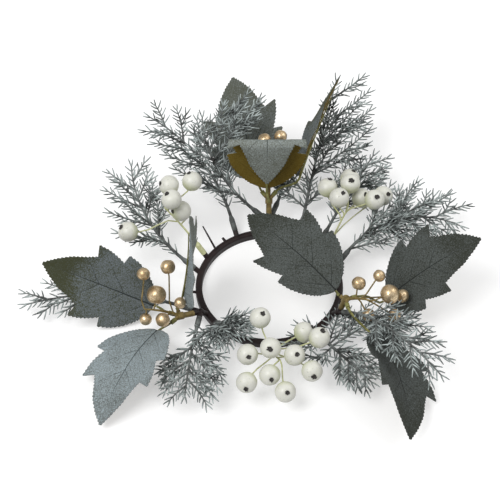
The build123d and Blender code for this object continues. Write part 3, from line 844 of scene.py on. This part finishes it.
# bare colour, frost colour, cover of frost, wear towards the tips
pale_cloth = make_cloth("leaf_cloth_pale", (0.095, 0.105, 0.098, 1), (0.270, 0.318, 0.335, 1), 0.76, 0.25)
grey_cloth = make_cloth("leaf_cloth_grey", (0.046, 0.050, 0.024, 1), (0.145, 0.168, 0.182, 1), 0.74, 0.95)
worn_cloth = make_cloth("leaf_cloth_worn", (0.072, 0.077, 0.058, 1), (0.160, 0.178, 0.172, 1), 0.66, 0.45)
folded_cloth = make_cloth("leaf_cloth_folded", (0.105, 0.112, 0.090, 1), (0.240, 0.268, 0.260, 1), 0.68, 0.30)
# The leaves at the right get this near-black cloth: painted shade, with frost and bare colours darkened for the
# shade that they lie in.
painted_shade_cloth = make_cloth("leaf_cloth_painted_shade", (0.027, 0.030, 0.022, 1), (0.087, 0.098, 0.095, 1), 0.68, 0.45)
olive_cloth = make_cloth("leaf_cloth_olive", (0.110, 0.072, 0.006, 1), (0.150, 0.108, 0.018, 1), 0.45, 0.0)
# most leaves wear frost above and olive beneath, and the one that stands at the left is frosted on both faces
cloths = {
    "leaf_back_left": (worn_cloth, olive_cloth),
    "leaf_back_inner": (folded_cloth, olive_cloth),
    "leaf_left_front": (pale_cloth, olive_cloth),
    "leaf_left_inner": (folded_cloth, pale_cloth),
    # the three leaves at the right wear the near-black cloth of painted shade
    "leaf_right_inner": (painted_shade_cloth, olive_cloth),
    "leaf_right_outer": (painted_shade_cloth, olive_cloth),
    "leaf_right_front": (painted_shade_cloth, olive_cloth),
}
for name, row in leaf_rows.items():
    make_leaf(name, row, *cloths.get(name, (grey_cloth, olive_cloth)))

# %% [markdown]
# Each cluster is one CAD node of separate balls, so the place and size of every berry are read from it: its
# loose parts are found in the mesh's own order, which is the same in every run, and each one's box is
# measured. The stalk's side is found too, from the points of the stem that come near, because a berry's
# dimple and its green flush belong there.

# %% Berries found in the frame
stalk_search = 1.35


def loose_parts(node):
    """The points of each separate ball in a CAD node."""
    bm = bmesh.new()
    bm.from_mesh(nodes[node].data)
    bmesh.ops.remove_doubles(bm, verts=bm.verts, dist=0.000001)
    left = set(bm.verts)
    parts = []
    for first in bm.verts:
        if first not in left:
            continue
        left.discard(first)
        group, edge = [], [first]
        while edge:
            vert = edge.pop()
            group.append(vert.co.copy())
            for link in vert.link_edges:
                other = link.other_vert(vert)
                if other in left:
                    left.discard(other)
                    edge.append(other)
        parts.append(group)
    bm.free()
    return parts


def ball_of(points):
    """The middle and the radius of a ball from its box."""
    low = Vector([min(p[axis] for p in points) for axis in range(3)])
    high = Vector([max(p[axis] for p in points) for axis in range(3)])
    return (low + high) / 2, max(high - low) / 2


def stalk_way(stem, middle, radius):
    """The direction from a berry's middle to where its stalk comes out."""
    away = [vert.co - middle for vert in nodes[stem].data.vertices]
    near = [step for step in away if step.length < radius * stalk_search]
    return sum(near, Vector()).normalized() if near else Vector((0, 0, -1))


print("white berries at the front", len(loose_parts("white_berries_front")))

# %% [markdown]
# The berries aren't perfect spheres. A white one is a little flattened, with a dimple round its dried black
# tip and another where the stalk goes in. A gold one has soft dents, as foam under paint has. Each starts as
# a sphere of radius one whose pole points along the berry's axis, so that a dimple is a soft push near a
# pole, and seeded noise keeps any two from being alike. Its lowest points stay a little above the table.

# %% A berry
dimple_width = 0.24
pole_flattening = 0.03
lump_pitch = 1.7
table_gap = 0.2 * mm


def standing(axis):
    """The turn that stands an upright shape along an axis."""
    return axis.to_track_quat("Z", "Y").to_matrix().to_4x4()


def add_shape(bm, shape):
    """Adds one bmesh to another, and frees it."""
    mesh = mesh_from(shape, "shape")
    bm.from_mesh(mesh)
    bpy.data.meshes.remove(mesh)


def add_ball(bm, middle, radius, axis, tip_dent, foot_dent, lump, seed):
    ball = bmesh.new()
    bmesh.ops.create_uvsphere(ball, u_segments=28, v_segments=18, radius=1)
    for vert in ball.verts:
        away = math.hypot(vert.co.x, vert.co.y)
        dent = tip_dent if vert.co.z > 0 else foot_dent
        dimple = dent * math.exp(-((away / dimple_width) ** 2))
        vert.co.z *= 1 - dimple - pole_flattening * abs(vert.co.z) ** 3
        vert.co *= 1 + lump * noise.noise(vert.co * lump_pitch + Vector((seed, seed * 0.7, 0)))
    seat = Matrix.Translation(middle) @ standing(axis) @ Matrix.Scale(radius, 4)
    bmesh.ops.transform(ball, verts=ball.verts, matrix=seat)
    for vert in ball.verts:
        vert.co.z = max(vert.co.z, table_gap)
    add_shape(bm, ball)


print("table gap in mm:", round(table_gap / mm, 2))

# %% [markdown]
# The black tip of a white berry is a dried calyx: a ragged disc whose middle is sunk and whose edge stands up
# in short points. A circle is pulled up, inset and pushed down in its middle, with a seeded chance in every
# point.

# %% A dried tip
tip_radius = 1.9 * mm
tip_height, tip_rim, tip_sink = 0.34, 0.34, 0.3
tip_seat_share = 0.905


def add_tip(bm, middle, radius, axis, chance):
    tip = bmesh.new()
    bmesh.ops.create_circle(tip, cap_ends=True, segments=14, radius=1)
    top = bmesh.ops.extrude_discrete_faces(tip, faces=tip.faces[:])["faces"]
    for vert in tip.verts:
        vert.co *= chance.uniform(0.62, 1.18)
    bmesh.ops.translate(tip, verts=top[0].verts, vec=(0, 0, tip_height))
    for vert in top[0].verts:
        vert.co.z += chance.uniform(-0.1, 0.25)
    bmesh.ops.inset_individual(tip, faces=top, thickness=tip_rim)
    bmesh.ops.translate(tip, verts=top[0].verts, vec=(0, 0, -tip_sink))
    wide = Matrix.Diagonal((chance.uniform(0.8, 1.15), chance.uniform(0.8, 1.15), 1, 1))
    seat = Matrix.Translation(middle + axis * radius * tip_seat_share) @ standing(axis) @ wide
    bmesh.ops.transform(tip, verts=tip.verts, matrix=seat @ Matrix.Scale(tip_radius, 4))
    add_shape(bm, tip)


print("dried tips are about", round(2 * tip_radius / mm, 1), "mm wide")

# %% [markdown]
# A cluster is made of such balls, one for each in the CAD node. The gold balls point away from their stalks,
# and the white ones point at their pips. Every point of a white berry also keeps how near the stalk it is,
# for its flush.

# %% The clusters


def make_gold(name):
    bm = bmesh.new()
    for number, points in enumerate(loose_parts(f"gold_berries_{name}")):
        middle, radius = ball_of(points)
        axis = stalk_way(f"gold_stem_{name}", middle, radius) * -1
        add_ball(bm, middle, radius, axis, tip_dent=0.05, foot_dent=0.16, lump=0.05,
                 seed=number + 0.37 * len(name))
    finish_piece(f"gold_berries_{name}_painted", bm, f"gold_berries_{name}", [gold_paint])


def make_white(name):
    berries, tips = bmesh.new(), bmesh.new()
    foot_side = berries.verts.layers.float.new("foot")
    pips = [ball_of(points)[0] for points in loose_parts(f"white_pips_{name}")]
    for number, points in enumerate(loose_parts(f"white_berries_{name}")):
        middle, radius = ball_of(points)
        pip = min(pips, key=lambda spot: (spot - middle).length)
        axis = (pip - middle).normalized()
        before = len(berries.verts)
        add_ball(berries, middle, radius, axis, tip_dent=0.10, foot_dent=0.12, lump=0.03,
                 seed=number + 0.61 * len(name))
        berries.verts.ensure_lookup_table()
        stalk = stalk_way(f"white_stem_{name}", middle, radius)
        for vert in berries.verts[before:]:
            vert[foot_side] = 0.5 + 0.5 * (vert.co - middle).normalized().dot(stalk)
        add_tip(tips, middle, radius, axis, random.Random(number * 7 + len(name)))
    finish_piece(f"white_berries_{name}_waxy", berries, f"white_berries_{name}", [white_skin])
    finish_piece(f"white_pips_{name}_dried", tips, f"white_pips_{name}", [dry_tip], smooth=False)


print("gold berries at the back", len(loose_parts("gold_berries_back")))

# %% [markdown]
# Gold paint, waxy skin and dried tips are all broken by tiny specks and change slowly from place to place.
# One group makes both from noise, and puts out a mask of specks and a field of soft clouds.

# %% The speckle group
speckle, given, put_out = new_group(
    "Speckle",
    [
        ("Scale", "NodeSocketFloat", 900.0),
        ("Spread", "NodeSocketFloat", 0.5),
    ],
    [("Mask", "NodeSocketFloat"), ("Clouds", "NodeSocketFloat")],
)
full = 0.72
low = sums(speckle, "SUBTRACT", full, given.outputs["Spread"])
grains = noise_on(speckle, given.outputs["Scale"], 3.0, 0.6)
slow = noise_on(speckle, 170.0, 2.0)
join(speckle, put_out, {
    "Mask": measured(speckle, grains, low, full),
    "Clouds": measured(speckle, slow, 0.3, 0.7),
})
print("speckle group nodes", len(speckle.nodes))

# %% [markdown]
# Gold paint on foam is a metal with a satin sheen, with darker specks and a slow change from pale to brown
# gold. The white skin is a soft gloss over ivory, with a green-yellow flush round the stalk that reads the
# berry's own attribute, and a scatter of grey specks. The dried tips are nearly black and have no shine.

# %% The berries


def speckled_material(name, scale, spread):
    """A material with the speckle group in it."""
    material, tree, shader = new_material(name)
    group = wire(tree, "ShaderNodeGroup", {"Scale": scale, "Spread": spread}, node_tree=speckle)
    return material, tree, shader, group.outputs["Mask"], group.outputs["Clouds"]


gold_paint, tree, shader, specks, clouds = speckled_material("gold_paint", 1300, 0.35)
slow_gold = mixed(tree, clouds, (0.56, 0.41, 0.23, 1), (0.88, 0.73, 0.50, 1))
join(tree, shader, {
    "Base Color": mixed(tree, specks, slow_gold, (0.33, 0.21, 0.10, 1)),
    "Roughness": measured(tree, specks, 0, 1, 0.28, 0.55),
    "Normal": bumped(tree, specks, 0.25, 0.2 * mm),
    "Metallic": 0.85,
})

white_skin, tree, shader, specks, clouds = speckled_material("white_skin", 700, 0.10)
foot = wire(tree, "ShaderNodeAttribute", attribute_name="foot")
flush = measured(tree, foot.outputs["Fac"], 0.45, 1.0)
ivory = mixed(tree, flush, (0.60, 0.60, 0.54, 1), (0.42, 0.45, 0.22, 1))
join(tree, shader, {
    "Base Color": mixed(tree, specks, ivory, (0.38, 0.38, 0.32, 1)),
    "Roughness": measured(tree, clouds, 0, 1, 0.32, 0.45),
    "Normal": bumped(tree, specks, 0.15, 0.2 * mm),
    "Subsurface Weight": 0.08,
    "Subsurface Radius": (0.003, 0.003, 0.002),
})

dry_tip, tree, shader, specks = speckled_material("dry_tip", 1600, 0.5)[:4]
dried = mixed(tree, specks, (0.012, 0.012, 0.013, 1), (0.055, 0.05, 0.045, 1))
join(tree, shader, {"Base Color": dried, "Roughness": 0.9})

for name in ("back", "left", "right"):
    make_gold(name)
for name in ("left", "right", "front"):
    make_white(name)

# %% [markdown]
# The hoop and the stems are finished CAD solids, and only need their materials. The hoop is a satin plastic,
# nearly black with a warm purple cast, with a faint uneven gloss and fine scuffs. Leaf stems and gold stems
# are olive with a brush of gold paint on what faces up. The white sprays' stems are a pale yellow-green that
# deepens in patches.

# %% The plastic finishes


def make_plastic(name, deep, light, scale, rough, dust):
    """Moulded plastic: two tones in soft patches, a dusting on top, and fine unevenness in its gloss."""
    material, tree, shader = new_material(name)
    powder = wire(tree, "ShaderNodeGroup", {"Bare": deep, "Frost": light, "Scale": scale, "Amount": dust},
                  node_tree=frosting)
    join(tree, shader, {
        "Base Color": powder.outputs["Color"],
        "Roughness": measured(tree, powder.outputs["Mask"], 0, 1, rough - 0.1, rough + 0.15),
        "Normal": bumped(tree, noise_on(tree, scale * 3, 3.0), 0.2, 0.2 * mm),
        "Specular IOR Level": 0.3,
    })
    return material


# start of a node's name: material name, deep colour, light colour, scale, roughness, amount of dust
finish_rows = {
    "base_ring": ("hoop_plastic", (0.010, 0.006, 0.006, 1), (0.026, 0.015, 0.015, 1), 160, 0.5, 0.8),
    "gold_stem": ("gold_stem_paint", (0.085, 0.062, 0.018, 1), (0.27, 0.20, 0.075, 1), 260, 0.5, 0.9),
    "leaf": ("leaf_stem_plastic", (0.10, 0.095, 0.022, 1), (0.30, 0.29, 0.11, 1), 240, 0.55, 0.8),
    "white_stem": ("pale_stem_plastic", (0.42, 0.44, 0.20, 1), (0.70, 0.70, 0.46, 1), 200, 0.5, 0.9),
}
finishes = {start: make_plastic(*row) for start, row in finish_rows.items()}
for name, node in nodes.items():
    for start, material in finishes.items():
        if name.startswith(start) and not name.endswith("_blade"):
            node.data.materials.clear()
            node.data.materials.append(material)
            print(name, "wears", material.name)

# %% [markdown]
# The ring stands on a plain pale floor under soft studio light. The floor's colour is only a pale grey, so
# that it throws little light back, and rays from the camera, from gloss or through glass also see it glow a
# little, which makes the background white while the shadow stays.

# %% The floor and the light
floor_reach = 6
floor_bm = bmesh.new()
bmesh.ops.create_grid(floor_bm, x_segments=1, y_segments=1, size=floor_reach)
floor = new_object("studio_floor", mesh_from(floor_bm, "studio_floor"))
paper, tree = new_material("studio_paper")[:2]
tree.nodes.clear()
rays = wire(tree, "ShaderNodeLightPath")
direct = sums(tree, "MAXIMUM", rays.outputs["Is Camera Ray"], rays.outputs["Is Glossy Ray"])
direct = sums(tree, "MAXIMUM", direct, rays.outputs["Is Transmission Ray"])
plain = wire(tree, "ShaderNodeBsdfDiffuse", {"Color": (0.62, 0.62, 0.62, 1)})
glow = wire(tree, "ShaderNodeEmission", {"Color": (1, 1, 1, 1), "Strength": 0.42})
bright = wire(tree, "ShaderNodeAddShader", {0: plain.outputs[0], 1: glow.outputs[0]})
choice = wire(tree, "ShaderNodeMixShader", {0: direct, 1: plain.outputs[0], 2: bright.outputs[0]})
wire(tree, "ShaderNodeOutputMaterial", {"Surface": choice.outputs[0]})
floor.data.materials.append(paper)


def add_lamp(name, spot, size, power):
    """A round soft lamp that points at the middle of the ring."""
    lamp = bpy.data.lights.new(name, "AREA")
    lamp.shape = "DISK"
    lamp.size = size
    lamp.energy = power
    holder = new_object(name, lamp)
    holder.location = spot
    holder.rotation_euler = (-Vector(spot)).to_track_quat("-Z", "Y").to_euler()


add_lamp("key", (-0.7, -0.5, 1.3), size=0.9, power=16)
add_lamp("fill", (0.9, 0.3, 1.1), size=1.2, power=7)
world = bpy.data.worlds.new("studio")
world.use_nodes = True
bpy.context.scene.world = world
sky = world.node_tree.nodes["Background"]
seen = wire(world.node_tree, "ShaderNodeLightPath")
strength = measured(world.node_tree, seen.outputs["Is Camera Ray"], 0, 1, 0.55, 1.0)
join(world.node_tree, sky, {"Color": (1, 1, 1, 1), "Strength": strength})
bpy.context.scene.view_settings.view_transform = "Standard"
print("floor, two lamps and a pale sky")

# %% [markdown]
# The photograph looks down on the ring from the front at fifty degrees, from over a metre away. The lens is
# long, so that near and far sides have nearly the same scale.

# %% The camera
lens = bpy.data.cameras.new("camera")
lens.lens = 115.8
lens.sensor_width = 36
camera = new_object("camera", lens)
camera.location = Vector((-14.4, -750.4, 939.85)) * mm
target = Vector((-14.4, 20.97, 20.6)) * mm
camera.rotation_euler = (target - camera.location).to_track_quat("-Z", "Y").to_euler()
bpy.context.scene.camera = camera
print("camera at", [round(v, 3) for v in camera.location])
